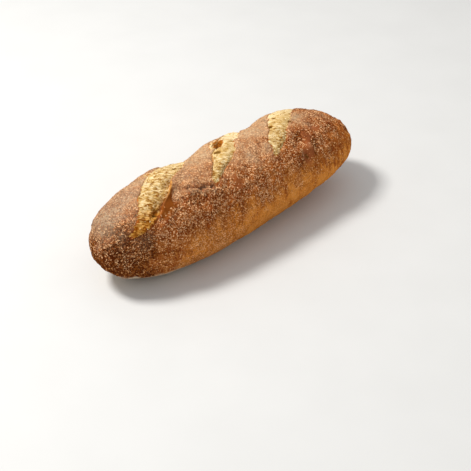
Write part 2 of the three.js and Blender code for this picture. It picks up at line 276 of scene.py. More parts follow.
# %% Marks on the crust
SWELLINGS = [  # x, y, radius, height
    (-24.0, 29.0, 24.0, -8.0),  # hollow behind the first cut
    (47.0, 31.0, 21.0, -6.0),  # hollow behind the second cut
    (19.0, 14.0, 10.0, -4.5),  # hollow at the back of the second strip
    (-50.0, 18.0, 12.0, -2.5),  # hollow at the back of the first strip
    (-60.0, -24.0, 15.0, 1.4),  # fold of crust beside the first cut
    (-23.0, -34.0, 6.5, 1.8),  # blister
    (66.0, -36.5, 4.6, 4.2),  # knob of the burst bubble
    (60.0, -40.5, 3.4, -3.6),  # its pit
    (89.0, -22.0, 4.0, -1.4),  # small pit at the +X end
    (81.0, -19.0, 3.2, -1.2),  # another
    (-128.0, -20.0, 9.0, 1.6),  # lump at the -X end
    (-116.0, -44.0, 8.0, -1.4),  # fold below the tip of the first cut
]
CAVITY = [  # hollows in the crumb: x, y, radius, height
    (6.0, 20.0, 4.2, -4.0),
    (0.0, 13.5, 4.2, -4.4),
    (-5.0, 8.0, 3.2, -3.0),
    # The last two stand for a crevice at the top of the first strip and a gap under the ear: their colour is
    # painted shade
    (-75.0, 23.0, 2.6, -1.8),
    (-105.0, -25.5, 2.4, -2.0),
]
DARK_HOLES = [(-57.6, 8.2), (74.5, -6.5), (52.0, -2.0)]  # gas holes, painted dark inside as painted shade: x, y
# the pale holes are painted the same way, a little fainter
PALE_HOLES = [(-107.0, -28.2), (68.5, 8.5), (-4.0, 9.6), (-1.6, 11.0), (-14.8, 0.6), (-13.4, -1.7)]
HOLES = DARK_HOLES + PALE_HOLES
HOLE_RADIUS, HOLE_DEEP = 1.7, 1.3


def swelling(x, y, mark):
    at_x, at_y, radius, height = mark
    return height * np.exp(-((x - at_x) ** 2 + (y - at_y) ** 2) / radius**2)


print("marks:", len(SWELLINGS), "on the crust,", len(CAVITY), "hollows and", len(HOLES), "gas holes")

# %% The crease
CREASE_FROM, CREASE_TO = -78.0, -46.0  # along the loaf
CREASE_STARTS, CREASE_STOPS = (-78.0, -70.0), (-52.0, -42.0)  # where its ends fade in and out
CREASE_FOOT, CREASE_BEND = -29.0, 14.0  # where it ends, and how far it climbs
CREASE_DEEP, CREASE_WIDE = 2.2, 1.3
CREASE_WAVE, WAVE_RATE = 0.9, 0.55  # it wavers to both sides
FINE_WAVE_SHARE, FINE_WAVE_RATE = 0.6, 1.3
CREASE_LIP, CREASE_LIP_AT, CREASE_LIP_WIDE = 1.1, -3.0, 2.0  # the skin in front of it stands up


def crease_line(x):
    """Where across the crown the crease lies."""
    climb = (x - CREASE_TO) / (CREASE_TO - CREASE_FROM)
    waver = np.sin(WAVE_RATE * x) + FINE_WAVE_SHARE * np.sin(FINE_WAVE_RATE * x + 1)
    return CREASE_FOOT + CREASE_BEND * climb**2 + CREASE_WAVE * waver


def crease(x, y, shift=0.0, wide=CREASE_WIDE):
    """1 along a line beside the crease, at that shift across it, and 0 away from it."""
    steep = 2 * CREASE_BEND * (x - CREASE_TO) / (CREASE_TO - CREASE_FROM) ** 2
    distance = (y - crease_line(x)) / np.sqrt(1 + steep**2) - shift
    ends = ease(*CREASE_STARTS, x) * (1 - ease(*CREASE_STOPS, x))
    return ends * np.exp(-((distance / wide) ** 2))


print("crease across the crown at its two ends:", crease_line(np.array([CREASE_FROM, CREASE_TO])).round(1))

# %% Points of the baked loaf
SMOOTH_TIP = 0.4  # share of the full width at which the relief is whole


def baked_point(x, angle):
    """A point of the loaf with its cuts and marks."""
    point = smooth_point(x, angle)
    y = across(angle)
    height = sum(slash_relief(slash, x, y) for slash in SLASHES)
    height += sum(swelling(x, y, mark) for mark in SWELLINGS + CAVITY)
    height -= CREASE_DEEP * crease(x, y)
    height += CREASE_LIP * crease(x, y, CREASE_LIP_AT, CREASE_LIP_WIDE)
    height += sum(swelling(x, y, (*hole, HOLE_RADIUS, -HOLE_DEEP)) for hole in HOLES)
    height *= ease(0, SMOOTH_TIP, outline(x, BACK_EDGE)) * (np.sin(angle) > 0)
    return point + outward(x, angle) * height[..., None]


print("baked crown at the middle:", baked_point(np.zeros(1), np.full(1, np.pi / 2)).round(1))

# %% [markdown]
# ## The skin as a mesh
# The skin is a grid of rings and columns, like a globe with its poles at the two ends of the loaf. The
# rings don't stand square to the loaf: they follow the edges of the slashes, so that a torn edge is a
# clean line of vertices and never a staircase. The grid is closed at the poles by two fans of triangles.

# %% Rings along the loaf
NEAR_RINGS, FAR_RINGS, BETWEEN_RINGS, STRIP_RINGS, FLANK_RINGS = 108, 106, 72, 45, 7
TIP_SAMPLES = 2000


def from_tip(stop, count, bluntness):
    """Depths from a tip of the loaf to a stop, in equal steps along the skin."""
    depth = np.linspace(0, 1, TIP_SAMPLES) ** 2 * LENGTH / 2
    reach = depth + WIDTH / 2 * np.sqrt(1 - (1 - 2 * depth / LENGTH) ** bluntness)
    share = np.arange(count + 1)[:, None] / count
    return np.interp(share * np.interp(stop, depth, reach), reach, depth)


def ring_lines(y):
    """x of every ring at places y across the crown: one row for each ring."""
    stops, counts = [np.full_like(y, -LENGTH / 2)], []
    for index, slash in enumerate(SLASHES):
        stops += slash_lines(slash, y, NARROWEST)
        counts += [BETWEEN_RINGS if index else NEAR_RINGS, FLANK_RINGS, STRIP_RINGS, FLANK_RINGS]
    stops.append(np.full_like(y, LENGTH / 2))
    counts.append(FAR_RINGS)
    near = -LENGTH / 2 + from_tip(LENGTH / 2 + stops[1], counts[0], BACK_EDGE[0])
    far = LENGTH / 2 - from_tip(LENGTH / 2 - stops[-2], counts[-1], BACK_EDGE[1])
    rows = list(near)
    for k in range(1, len(counts) - 1):
        share = np.arange(1, counts[k] + 1) / counts[k]
        rows += [stops[k] + (stops[k + 1] - stops[k]) * s for s in share]
    rows += list(far[::-1][1:])
    return np.array(rows)


COLUMNS = 184
CROWDING = 0.5  # how much closer the columns lie on the crown than on the sole
turn = -2 * np.pi * np.arange(COLUMNS) / COLUMNS
column_angle = turn + CROWDING * np.cos(turn)
ring_x = ring_lines(across(column_angle))
ring_angle = np.broadcast_to(column_angle, ring_x.shape)
print("grid:", ring_x.shape[0], "rings of", ring_x.shape[1], "columns")

# %% Faces of the skin
skin_points = baked_point(ring_x, ring_angle)
middle = (skin_points.min((0, 1)) + skin_points.max((0, 1))) / 2
skin_points -= [middle[0], middle[1], 0]


def grid_faces(rings, columns):
    """Quads between the rings, and a fan at each pole. Vertex 0 and the last vertex are the poles."""
    column = np.arange(columns)
    following = (column + 1) % columns
    faces = [(0, 1 + b, 1 + a) for a, b in zip(column, following)]
    for ring in range(rings - 3):
        low, high = 1 + ring * columns, 1 + (ring + 1) * columns
        faces += [(low + a, low + b, high + b, high + a) for a, b in zip(column, following)]
    last = 1 + (rings - 2) * columns
    faces += [(last, last - columns + a, last - columns + b) for a, b in zip(column, following)]
    return [tuple(int(i) for i in face) for face in faces]


def by_vertex(grid):
    """A value for each grid place as one for each vertex, with each pole once."""
    return np.concatenate([grid[:1, 0], grid[1:-1].reshape(-1, *grid.shape[2:]), grid[-1:, 0]])


skin_mesh = bpy.data.meshes.new("crust_skin")
skin_mesh.from_pydata(by_vertex(skin_points) * MM, [], grid_faces(*ring_x.shape))
skin_mesh.update()
print("skin:", len(skin_mesh.vertices), "vertices,", len(skin_mesh.polygons), "faces")

# %% [markdown]
# ## Where the surface changes
# The finishes have to know where they are: in the torn strip, on the ear, on the amber lower side or at
# a dark end. Painted masks would need an image, so each mask is a number on every vertex, worked out
# from the same sizes as the shape. Materials and Geometry Nodes both read such attributes by name. An
# oven draws no straight lines, so the places are shifted by smooth unevenness before a zone is measured.

# %% Places of the vertices
x, angle = by_vertex(ring_x), by_vertex(ring_angle)
y = across(angle)
rest_points = smooth_point(x, angle)
z = rest_points[:, 2]
on_crown = np.sin(angle) > 0
WAVES, WAVE_LENGTHS = 24, (1.5, 3.0)  # waves that make up the unevenness, and their lengths in blotches
BROAD, FINE = 12.0, 5.0  # sizes of the blotches that fray the edge of a zone


def uneven(size, seed):
    """Smooth unevenness over the loaf, mostly from -1 to 1, in blotches of about that many mm."""
    random = np.random.default_rng(seed)
    ways = random.normal(size=(3, WAVES))
    ways /= np.linalg.norm(ways, axis=0)
    lengths = size * random.uniform(*WAVE_LENGTHS, WAVES)
    turns = rest_points @ (2 * np.pi * ways / lengths) + random.uniform(0, 2 * np.pi, WAVES)
    return np.cos(turns).sum(1) / np.sqrt(WAVES)


def ragged(place, broad, fine, seed):
    """Places shifted by broad and by fine blotches of those heights."""
    return place + broad * uneven(BROAD, seed) + fine * uneven(FINE, seed + 1)


ragged_x = ragged(x, 6.0, 3.0, 1)
ragged_y = ragged(rest_points[:, 1], 6.0, 4.0, 3)
ragged_z = ragged(z, 5.0, 3.0, 5)
print("zones fray by up to", round(float(np.abs(ragged_x - x).max()), 1), "mm along the loaf")

# %% Helpers for masks


def until(low, high, value):
    """1 at low, 0 at high, and a smooth change between them."""
    return 1 - ease(low, high, value)


def dots(marks, radius):
    """1 at the middle of small round marks, given by x and y."""
    return np.clip(sum(swelling(x, y, (*mark, radius, 1.0)) for mark in marks), 0, 1) * on_crown


def weighed(zones):
    """The sum of zones, each times its weight."""
    return sum(weight * zone for zone, weight in zones)


def keep(**masks):
    """Stores masks on the skin under their names, and prints how far each one reaches."""
    for name, values in masks.items():
        kept = skin_mesh.attributes.new(name, "FLOAT", "POINT")
        kept.data.foreach_set("value", values.astype(np.float32))
        print(f"mask {name}: {values.min():.2f} to {values.max():.2f}")


print("vertices on the crown:", int(on_crown.sum()))

# %% [markdown]
# ## Torn strips, rims and ear
# Where a slash opened, crust ends and crumb begins within a millimetre. The edges of the slashes are known
# lines, so the distance to them is a subtraction, which is sharper than any painted edge. The ear has a
# wall towards the strip, lit at the back and shaded at the front, and a smooth face behind it. The lit part
# of the wall gets a golden painted highlight, and its shaded part takes the dark colour of the face as
# painted shade. That face is smooth crust, made darker partly as painted shade.

# %% Strips and rims
OUTSIDE = -50.0  # depth of a point that lies in no strip
FRAY_STARTS, FRAY_STOPS = (0.55, 0.95), (4, 8)  # in shares of a strip's width, and in mm past its right lip
RIM_STARTS, RIM_STOPS = (-0.8, 0.4), (-0.2, 0.8)  # in mm from the left lip, and from the left edge


def strip_depth(slash):
    """How far inside the torn strip a point lies, in mm: below 0 it is outside."""
    _, left, right, _ = slash_lines(slash, y, 0.0)
    inside = np.minimum(x - left, right - x)
    return np.where(on_crown & (opening(slash, y) > 0), inside, OUTSIDE)


def frayed_side(slash):
    """1 towards the right edge of a strip, where crumb and crust run into each other."""
    _, left, right, right_lip = slash_lines(slash, y, 0.0)
    share = (x - left) / np.maximum(right - left, 1)
    return ease(*FRAY_STARTS, share) * until(*FRAY_STOPS, x - right_lip) * on_crown


def left_rim(slash):
    """1 on the thin torn rim along the left edge of a strip."""
    left_lip, left, _, _ = slash_lines(slash, y, 0.0)
    return ease(*RIM_STARTS, x - left_lip) * until(*RIM_STOPS, x - left) * opening(slash, y) * on_crown


gold_rim, red_rim = left_rim(SLASHES[1]), left_rim(SLASHES[2])
frayed = np.clip(frayed_side(SLASHES[1]) + frayed_side(SLASHES[2]), 0, 1)
keep(gold_rim=gold_rim, red_rim=red_rim, frayed=frayed)

# %% Ear
WALL_STARTS, WALL_STOPS = (-2.6, -0.2), (0.4, 2.2)  # in mm from the strip's right edge, and from the crest
WALL_LIT = (-25, -16)  # across the crown: in front of this the wall lies in the shade
FACE_SHOWS = (0.6, 3.0)  # width of a face that begins to show, and of one that shows fully
FACE_FADE = (-1.0, 0.8)  # in mm from its far edge
FACE_FOOT = (EAR_END - 2, EAR_FOOT)  # across the crown


def ear_wall(slash):
    """1 on the wall of the ear, from the strip up to its crest."""
    _, _, right, right_lip = slash_lines(slash, y, NARROWEST)
    inside = ease(*WALL_STARTS, x - right + uneven(3.0, 14)) * until(*WALL_STOPS, x - right_lip)
    return inside * ease(EAR_KEPT, 1.0, ear_height(y)) * on_crown


def bare_face(slash):
    """1 on the smooth shaded face of the ear."""
    _, _, _, right_lip = slash_lines(slash, y, NARROWEST)
    face = ear_width(slash, y)
    inside = ease(0.0, 1.0, x - right_lip) * until(*FACE_FADE, x - right_lip - face)
    ragged_foot = y + 3.0 * uneven(4.0, 13)
    return inside * ease(*FACE_SHOWS, face) * ease(*FACE_FOOT, ragged_foot) * on_crown


# Where the wall faces the window it gets a painted highlight, and where it is in shade it joins the ear's
# face in a painted shade
wall_zone, wall_lit = ear_wall(EARED), ease(*WALL_LIT, y)
wall = wall_zone * wall_lit
shaded_wall = wall_zone * (1 - wall_lit)
ear = np.maximum(bare_face(EARED), shaded_wall)
keep(wall=wall, ear=ear)

# %% Crumb
CAVITY_SPREAD, CAVITY_EDGE, CAVITY_STEEP = 1.7, 0.4, 5.0  # how far torn crumb reaches round a hollow
CAVITY_NEAR = 0.2
CAVITY_WHOLE = 1.8  # depth in mm from which a hollow has its full colour
WALL_PUSH = 7.0  # mm by which the shaded wall pushes the crumb back
around_cavity = sum(swelling(x, y, (*mark[:2], CAVITY_SPREAD * mark[2], 1.0)) for mark in CAVITY)
beside_cavity = CAVITY_STEEP * (around_cavity - CAVITY_EDGE)
strip = np.max([strip_depth(slash) for slash in SLASHES], axis=0)
strip = np.where(on_crown & (around_cavity > CAVITY_NEAR), np.maximum(strip, beside_cavity), strip)
strip = strip - WALL_PUSH * shaded_wall
whole_crust = until(-1.0, 0.5, strip)
tip = ease(-13, -31, y) * ease(-60, -90, x)  # lower end of the first strip
cavity = np.clip(-sum(swelling(x, y, mark) for mark in CAVITY) / CAVITY_WHOLE, 0, 1) * on_crown
crumb = ease(-0.5, 2.0, strip) * (1 - dots(HOLES, 2.5)) * (1 - cavity) * (1 - 0.85 * tip)
keep(strip=strip, tip=tip, cavity=cavity, crumb=crumb)

# %% [markdown]
# ## Zones of the crust
# An oven browns a loaf unevenly: the ends and shoulders most, and the low front side least. The crown
# behind the slashes keeps a bloom of flour, and where it faces the window its pale colour is also painted
# sheen. Near the -X end the crown is painted darker as painted shade, and the lower front of that end is
# partly browner crust and partly painted shade. Each zone is a share from 0 to 1 that changes between two
# places in mm along the loaf, across it or up. Zones are multiplied where both must hold, which is easy to
# read back.

# %% Zones
AMBER_EDGE = [(-125, 0), (-105, 8), (-87, 18), (-60, 34), (-40, 47), (5, 43), (20, 47), (60, 45),
              (84, 42), (110, 38), (140, 30)]  # along the loaf, and how high the amber side reaches
end_cap = until(-138, -100, ragged_x)
far_end = ease(62, 100, ragged_x)
# Below its crown the -X end is browner, partly as crust and partly as painted shade away from the window
near_end = end_cap * until(0, 14, ragged_y) * until(48, 66, ragged_z)
near_low = until(-128, -84, ragged_x) * until(22, 42, ragged_z)
far_side = ease(45, 80, ragged_x) * until(50, 64, ragged_z) * until(0, 20, y)
low_side = until(-11, 11, ragged_z + 4 * uneven(4.0, 8) - np.interp(x, *zip(*AMBER_EDGE)))

# Beside the crease the lit crown ends at the fold line, so its painted sheen stops there
beside_fold = ease(-84, -72, x) * until(-48, -36, x)
behind_fold = ease(-4, 5, y - crease_line(x) + 1.5 * uneven(4.0, 15))
towards_back = ease(-30, 8, ragged_y + 8 * end_cap)
towards_back += 0.6 * beside_fold * (0.5 * behind_fold - towards_back)
crown_height = ragged_z - 14 * end_cap * until(0, 16, ragged_y)
# The crown faces the window: the flour dust laid on it is also painted sheen there
crown = towards_back * ease(28, 54, crown_height) * (1 - 0.75 * ease(76, 108, ragged_x))
# The crown near the -X end faces the window, yet it is painted darker: painted shade
near_crown = crown * until(-124, -66, ragged_x)
shoulder = bell(ragged_z, 60.0, 12.0) * (1 - towards_back)

upper_side = ease(38, 56, ragged_z - 10 * ease(20, 60, x))
speckled = np.maximum(upper_side, end_cap * ease(24, 40, ragged_z)) * (1 - 0.25 * crown)
plain_side = 0.4 * (1 - speckled) * (1 - crown)
amber_side = low_side * (0.4 + 0.6 * ease(-45, -10, x))
amber = np.max([amber_side, 0.6 * far_side, plain_side], axis=0)
# The crown near the -X end is kept as the mask of a painted shade
keep(speckled=speckled, amber=amber, dull=near_crown)

# %% [markdown]
# ## Browning, flour and holes
# How brown the crust is at a point is one number, and a colour ramp will turn it into colour later. It
# starts from the plain crust, and every zone or spot adds its share, as a list that can be read from top
# to bottom. The crease and the pit of the burst bubble are made browner as painted shade. Flour works the
# same way: a dusting on a few patches and a rim round the sole, and on the crown, which faces the window,
# the same pale colour is flour and painted sheen, with painted highlights on the lip of the crease and on
# the burst bubble. Gas holes and the bottoms of hollows are painted dark as painted shade.

# %% Browning
DARK_PATCHES = [(-76.0, -34.0), (-58.0, -37.0), (-40.0, -41.0), (58.0, -38.0), (72.0, -32.0)]  # x, y
FAR_PATCHES = DARK_PATCHES[3:]
BLISTERS = [(-24.0, -34.5), (89.0, -23.0), (72.0, -27.0)]  # smooth dark spots: x, y
KNOB, KNOB_PIT = (66.0, -36.5), (60.0, -40.5)  # the burst bubble: x, y
PLAIN_CRUST = 0.45
browner = [  # a zone, and how much browner it is than plain crust
    (shoulder, 0.03),
    (near_end, 0.18),
    (end_cap, 0.25),
    (far_end, 0.10),
    (crown, -0.05),
    # browner near the -X end of the crown, as painted shade
    (near_crown, 0.12),
    (near_low, 0.22),
    (bell(ragged_z, 42.0, 14.0) * until(-60, -30, x) * (1 - crown), 0.08),  # band round the -X end
    (dots(DARK_PATCHES, 15.0) * (1 - crown), 0.16),
    (dots(FAR_PATCHES, 12.0) * (1 - crown), 0.06),
    (uneven(7.0, 7) * (1 - 0.5 * crown), 0.09),
    (dots(BLISTERS, 4.5), 0.10),
    # Painted shade in the pit of the burst bubble
    (dots([KNOB_PIT], 3.0), 0.22),
    # Painted shade in the groove of the crease
    (crease(x, y, 0.0, 1.2) * on_crown, 0.5),
]
bake = np.clip(PLAIN_CRUST + weighed(browner), 0, 1)
bare_spots = ease(0.2, 0.6, dots(BLISTERS + [KNOB, KNOB_PIT], 5.0))
height_share = z / HEIGHT + 0.55 * until(-125, -65, x) + 0.22 * ease(0, 20, y)  # low parts turn golden
keep(bake=bake, blister=bare_spots, level=height_share)

# %% Flour
FLOUR_HEIGHT = 11.0  # where the dusting of the sole ends
FLOUR_CLIMB, CLIMB_FROM = 0.22, -118.0  # it climbs towards the -X end, from here
PALE_PATCHES = [(-79.0, -20.0), (5.0, -26.0), (25.0, -22.0)]  # where flour stayed: x, y
BUBBLE_HIGHLIGHTS = [(65.5, -35.2), (56.6, -38.6)]  # painted highlights on the knob and the left rim of the burst bubble: x, y
flour_edge = FLOUR_HEIGHT + FLOUR_CLIMB * np.clip(CLIMB_FROM - x, 0, None)
flour_edge += uneven(5.0, 9) - 6.0 * ease(-92, -75, x)
flour = until(-1.2, 1.2, z - flour_edge)
# The lip in front of the crease gets a painted highlight
fold_lip = crease(x, y, CREASE_LIP_AT, 1.6) * on_crown
dust_and_sheen_zones = [  # a zone, and how much flour dust and painted sheen it keeps
    (crown, 1.0),
    # less of the pale colour near the -X end of the crown, as painted shade
    (near_crown, -0.1),
    (dots(PALE_PATCHES, 6.0), 0.7),
    (fold_lip, 0.5),
    (dots(BUBBLE_HIGHLIGHTS, 2.0), 0.6),
]
keep(flour=flour, dust=np.clip(weighed(dust_and_sheen_zones), 0, 1) * whole_crust)

# %% Holes and pale crumb
PIT = [(60.0, -39.4), (61.6, -41.2)]  # painted shade in the pit of the burst bubble: x, y
HOLE_REACH = 2.4
dark_holes, pale_holes = (ease(0.2, 0.8, dots(holes, HOLE_REACH)) for holes in (DARK_HOLES, PALE_HOLES))
hole = np.clip(dark_holes + 0.8 * pale_holes + 0.8 * dots(PIT, 1.5), 0, 1)
paler = [  # a part of the strips, and how much paler its crumb is
    (ease(-30, 6, y), 0.65),
    (ease(4, 18, y), 0.9),
    (ease(-45, -25, x), 0.6),
    (ease(30, 50, x), -0.25),
    (bell(x, 0.0, 25.0), -0.15),
]
keep(hole=hole, pale=weighed(paler), smooth=ease(-45, -25, x) * ease(-22, -4, y))

# %% [markdown]
# ## Where the flakes lie, and where the skin is rough
# The bran doesn't stick everywhere: torn crumb, the ear, blisters and the floury rim are bare, and the low
# front side is thin. The coat starts whole, and each zone takes its share away. Two more masks tell the
# relief where the crust is lumpy and where it has to stay even, such as the flat sole and the smooth ear.

# %% Coat and relief masks
tip_rim = tip * ease(-6, -1, strip)
thinner = [  # a zone, and the share of the flakes that it lacks
    (tip_rim, 0.8),
    (ear, 1.0),
    (wall, 1.0),
    (np.clip(gold_rim + red_rim, 0, 1), 0.7),
    (bare_spots, 0.9),
    (near_low, 0.4),
    (crown, 0.25),
    (far_side, 0.6),
    (low_side * ease(-50, -10, x), 0.45),
    (flour, 1.0),
    (crease(x, y, 0.0, 1.7), 1.0),
]
coat = whole_crust * ease(3, 14, z) * (0.85 + 0.15 * speckled)
for zone, share in thinner:
    coat = coat * (1 - share * zone)
grit = whole_crust * (1 - ear) * (1 - wall) * ease(5, 16, z) * (1 - flour)
lumps = 0.35 + 0.1 * near_end + 0.05 * far_end + 0.3 * shoulder
lumps = lumps * (1 - bare_spots) * (1 - 0.6 * crown)
rise = ease(1, 9, z) * ease(0, SMOOTH_TIP, outline(x, BACK_EDGE))
rise = rise * (1 - 0.85 * np.maximum(ear, wall)) * (1 - 0.4 * low_side)
keep(coat=coat, grit=grit, lumps=lumps, rise=rise)

# %% [markdown]
# ## Helpers for node trees
# Materials and Geometry Nodes are both trees of nodes, and a script that builds them repeats three moves:
# add a node, plug a value or another node's output into a socket, and pick the socket that is in use.
# Built by hand in the editor, the trees below would be hard to change, so a few small functions keep the
# recipes readable.

# %% Node helpers


def socket(sockets, name):
    """The socket of that name that the node uses in its present mode."""
    return next(s for s in sockets if s.name == name and s.enabled)


def plug(tree, value, target):
    """Links an output to a socket, or sets a plain value on it."""
    if isinstance(value, bpy.types.NodeSocket):
        tree.links.new(value, target)
    else:
        target.default_value = value


def add(tree, kind, settings=None, **inputs):
    """A new node: settings are its own options, and inputs are named with _ for spaces."""
    node = tree.nodes.new(kind)
    for name, value in (settings or {}).items():
        setattr(node, name, value)
    for name, value in inputs.items():
        plug(tree, value, socket(node.inputs, name.replace("_", " ")))
    return node


def calc(tree, operation, first, second):
    node = add(tree, "ShaderNodeMath", {"operation": operation})
    plug(tree, first, node.inputs[0])
    plug(tree, second, node.inputs[1])
    return node.outputs[0]


# %% Sums and noise in a tree


def times(tree, *values):
    product = values[0]
    for value in values[1:]:
        product = calc(tree, "MULTIPLY", product, value)
    return product


def blend(tree, *parts):
    """The sum of parts, each the product of what its brackets hold."""
    total = times(tree, *parts[0])
    for part in parts[1:]:
        total = calc(tree, "ADD", total, times(tree, *part))
    return total


def centred(tree, noise):
    return calc(tree, "SUBTRACT", noise, 0.5)


def remap(tree, value, low, high, to_low=0.0, to_high=1.0):
    """A smooth change from to_low to to_high while value goes from low to high."""
    node = add(tree, "ShaderNodeMapRange", {"interpolation_type": "SMOOTHSTEP"}, Value=value)
    for name, number in zip(("From Min", "From Max", "To Min", "To Max"), (low, high, to_low, to_high)):
        plug(tree, number, socket(node.inputs, name))
    return node.outputs[0]


def stretched(tree, place, factors):
    """Coordinates multiplied along each axis: less than 1 draws noise out along it."""
    node = add(tree, "ShaderNodeVectorMath", {"operation": "MULTIPLY"})
    plug(tree, place, node.inputs[0])
    plug(tree, factors, node.inputs[1])
    return node.outputs[0]


def speckle(tree, place, size, detail=2.0, roughness=0.5, distortion=0.0):
    """Noise whose blotches are about that many mm apart, from 0 to 1."""
    node = add(tree, "ShaderNodeTexNoise", Vector=place, Scale=1 / (size * MM), Detail=detail,
               Roughness=roughness, Distortion=distortion)
    return node.outputs[0]


TEAR_TURN, TEAR_STRETCH = -0.76, (1.0, 0.22, 1.0)  # the way the torn threads run, and how they are drawn out


def torn_grain(tree, place):
    """Coordinates turned and squeezed so that noise becomes short threads across a slash."""
    turned = add(tree, "ShaderNodeVectorRotate", {"rotation_type": "Z_AXIS"}, Vector=place, Angle=TEAR_TURN)
    return stretched(tree, turned.outputs[0], TEAR_STRETCH)


print("torn threads run at", round(float(np.degrees(TEAR_TURN)), 1), "degrees")

# %% [markdown]
# ## The finish of the crust
# Crust is baked starch and sugar: amber where the oven reached it least, red-brown on the shoulders, and
# nearly black-brown at the ends. An image texture would tie it to one view, so a ramp of colours follows
# the browning mask, broken up by noise at three scales in Object coordinates. Flour, ear, rims, torn
# crumb, hollows and holes are then laid over it one after another, as they lie in reality. Only grain
# that is too fine for the mesh is a bump.

# %% Colour helpers


def attribute(tree, name):
    """A vertex mask, read inside a material."""
    return add(tree, "ShaderNodeAttribute", {"attribute_name": name}).outputs["Fac"]


def layer(tree, share, below, above, blend_type="MIX"):
    """One colour laid over another by a share."""
    settings = {"data_type": "RGBA", "blend_type": blend_type}
    return socket(add(tree, "ShaderNodeMix", settings, Factor=share, A=below, B=above).outputs, "Result")


def tint(tree, share, below, colour):
    """A colour multiplied by another by a share, so that its lights and darks stay."""
    return layer(tree, share, below, colour, "MULTIPLY")


def shades(tree, share, stops):
    """A colour ramp: stops are (place, linear colour)."""
    node = add(tree, "ShaderNodeValToRGB", Fac=share)
    ramp = node.color_ramp
    for index, (at, colour) in enumerate(stops):
        stop = ramp.elements[index] if index < 2 else ramp.elements.new(at)
        stop.position = at
        stop.color = (*colour, 1.0)
    return node.outputs[0]


def new_material(name, roughness):
    """A material with one Principled shader: the material, its tree, the shader and Object coordinates."""
    material = bpy.data.materials.new(name)
    material.use_nodes = True
    tree = material.node_tree
    shader = next(node for node in tree.nodes if node.type == "BSDF_PRINCIPLED")
    shader.inputs["Roughness"].default_value = roughness
    place = tree.nodes.new("ShaderNodeTexCoord").outputs["Object"]
    return material, tree, shader, place


# %% Browned skin
AMBER = (0.69, 0.266, 0.048)
GOLDEN_BROWN = (0.535, 0.175, 0.027)
BROWN = (0.35, 0.095, 0.015)
DARK_BROWN = (0.235, 0.047, 0.008)
BURNT = (0.085, 0.015, 0.002)
BROWNING = [(0.0, AMBER), (1.0, BURNT), (0.28, GOLDEN_BROWN), (0.52, BROWN), (0.76, DARK_BROWN)]
STREAK_STRETCH = (1.0, 0.25, 0.22)  # streaks on the side run downwards
STREAK_SIZE, BLOTCH_SIZE, SAND_SIZE = 3.2, 11.0, 1.5
CRUST_ROUGHNESS = 0.62

crust_finish, tree, shader, place = new_material("baked_crust", CRUST_ROUGHNESS)
streaks = centred(tree, speckle(tree, stretched(tree, place, STREAK_STRETCH), STREAK_SIZE, 3.0, 0.6))
blotches = centred(tree, speckle(tree, place, BLOTCH_SIZE, 3.0, 0.6))
sand = speckle(tree, place, SAND_SIZE, 2.0, 0.6)
under_coat = attribute(tree, "coat")
level = blend(tree, (attribute(tree, "level"),), (blotches, 0.55), (streaks, 0.45))
golden = remap(tree, level, 0.74, 0.46)
browning = blend(tree, (attribute(tree, "bake"),), (blotches, 0.45), (streaks, 0.35),
                 (centred(tree, sand), 0.6), (golden, -0.38), (golden, streaks, 0.8),
                 (golden, blotches, 0.3), (under_coat, 0.14))
crust_colour = shades(tree, browning, BROWNING)
print("browned skin:", len(BROWNING), "shades from amber to burnt")

# %% Flour, painted sheen and meal on the skin
# The pale dust colour is flour, and on the crown that faces the window it is also painted sheen
DUST_AND_SHEEN, MEAL = (0.50, 0.382, 0.238, 1.0), (0.58, 0.34, 0.16, 1.0)
# A tint that darkens the crown near the -X end as painted shade
NEAR_CROWN_SHADE = (0.86, 0.83, 0.86, 1.0)
BLISTER_SKIN = (0.30, 0.098, 0.038, 1.0)
MEAL_SIZE = 1.0
dust_and_sheen_patches = blend(tree, (sand,), (blotches, 0.8))
dust_and_sheen_share = times(tree, attribute(tree, "dust"), remap(tree, dust_and_sheen_patches, 0.25, 0.70, 0.3, 0.9))
crust_colour = layer(tree, dust_and_sheen_share, crust_colour, DUST_AND_SHEEN)
# Painted shade on the crown near the -X end
crust_colour = tint(tree, attribute(tree, "dull"), crust_colour, NEAR_CROWN_SHADE)
crust_colour = layer(tree, times(tree, attribute(tree, "blister"), 0.6), crust_colour, BLISTER_SKIN)
meal = remap(tree, speckle(tree, place, MEAL_SIZE, 1.0, 0.5), 0.57, 0.68)
meal = times(tree, meal, remap(tree, under_coat, 0.0, 0.8, 0.0, 0.4))
crust_colour = layer(tree, meal, crust_colour, MEAL)
print("crust finish so far:", len(tree.nodes), "nodes")

# %% Ear with its painted highlight and shade, and red rim
# Dark ear colours: smooth crust, darkened partly as painted shade. Golden wall colours: painted highlight
EAR_DARK, EAR_LIGHT = (0.18, 0.044, 0.007, 1.0), (0.28, 0.078, 0.012, 1.0)
WALL_DARK, WALL_LIGHT = (0.42, 0.14, 0.018, 1.0), (0.66, 0.33, 0.085, 1.0)
RED_RIM = (0.36, 0.13, 0.045, 1.0)
EAR_GRAIN, WALL_GRAIN = 4.0, 2.5
ear_colour = layer(tree, speckle(tree, place, EAR_GRAIN), EAR_DARK, EAR_LIGHT)
crust_colour = layer(tree, attribute(tree, "ear"), crust_colour, ear_colour)
wall_grain = remap(tree, speckle(tree, place, WALL_GRAIN, 3.0, 0.6), 0.35, 0.65)
wall_highlight_colour = layer(tree, wall_grain, WALL_DARK, WALL_LIGHT)
crust_colour = layer(tree, times(tree, attribute(tree, "wall"), 0.9), crust_colour, wall_highlight_colour)
crust_colour = layer(tree, times(tree, attribute(tree, "red_rim"), 0.8), crust_colour, RED_RIM)
print("crust finish so far:", len(tree.nodes), "nodes")

